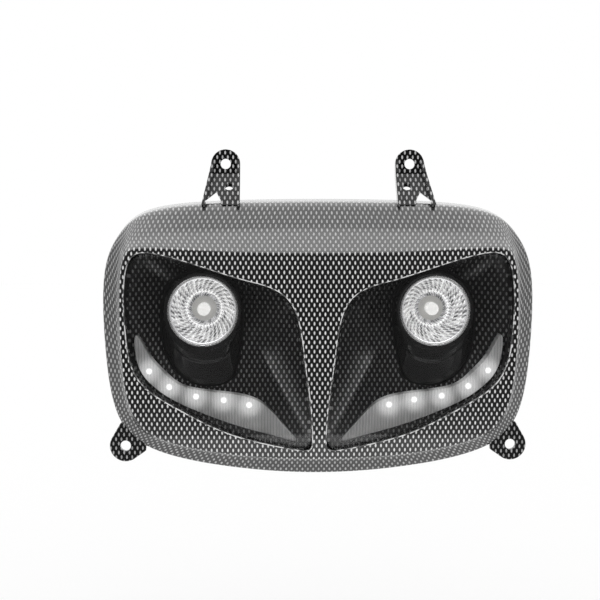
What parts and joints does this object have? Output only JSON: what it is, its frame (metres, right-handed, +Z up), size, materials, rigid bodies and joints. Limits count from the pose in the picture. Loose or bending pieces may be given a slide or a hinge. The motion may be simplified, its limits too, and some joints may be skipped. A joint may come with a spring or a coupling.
{
  "type": "twin headlight",
  "caption": "Twin motorcycle headlight in a carbon-look fairing, with wing-shaped eyes, round halogen lamps and diode light strips.",
  "frame": {"origin": "midway between the two upper bracket holes, on the rear face of the bracket tabs", "axes": "+X to the right as seen from the front, +Y to the rear, +Z up"},
  "size_m": [0.2182, 0.07, 0.1647],
  "materials": {
    "fairing_plastic": "clear-coated, printed with a pale woven pattern",
    "mask_plastic": "printed with the same pale woven pattern",
    "pod_plastic": "polished black",
    "clear_lens": "clear, polished",
    "reflector_glass": "hammered facets",
    "capsule_glass": "clear",
    "lamp_ceramic": "matt",
    "socket_ceramic": "matt",
    "pin_metal": "plated",
    "ring_steel": "bright wire",
    "cover_plastic": "translucent, fluted",
    "tray_plastic": "satin white",
    "board_laminate": "white solder mask",
    "diode_resin": "lit white",
    "housing_plastic": "fine moulded grain",
    "seal_foam": "closed-cell foam",
    "screw_steel": "dark zinc plated",
    "black_rubber": "matt"
  },
  "bodies": {
    "root": {"front_fairing": "fairing_plastic", "housing_gasket": "seal_foam", "rear_housing": "housing_plastic", "housing_screws": "screw_steel", "harness_grommet": "black_rubber", "lens_right": "clear_lens", "lens_left": "clear_lens", "inner_mask_right": "mask_plastic", "inner_mask_left": "mask_plastic", "lamp_pod_right": "pod_plastic", "lamp_pod_left": "pod_plastic", "lamp_reflector_right": "reflector_glass", "lamp_reflector_left": "reflector_glass", "lamp_capsule_right": "capsule_glass", "lamp_capsule_left": "capsule_glass", "lamp_base_right": "lamp_ceramic", "lamp_base_left": "lamp_ceramic", "lamp_pins_right": "pin_metal", "lamp_pins_left": "pin_metal", "lamp_socket_right": "socket_ceramic", "lamp_socket_left": "socket_ceramic", "lamp_ring_right": "ring_steel", "lamp_ring_left": "ring_steel", "strip_cover_right": "cover_plastic", "strip_cover_left": "cover_plastic", "strip_tray_right": "tray_plastic", "strip_tray_left": "tray_plastic", "strip_board_right": "board_laminate", "strip_board_left": "board_laminate", "strip_diodes_right": "diode_resin", "strip_diodes_left": "diode_resin", "access_cap_right": "black_rubber", "access_cap_left": "black_rubber"}
  },
  "joints": []
}
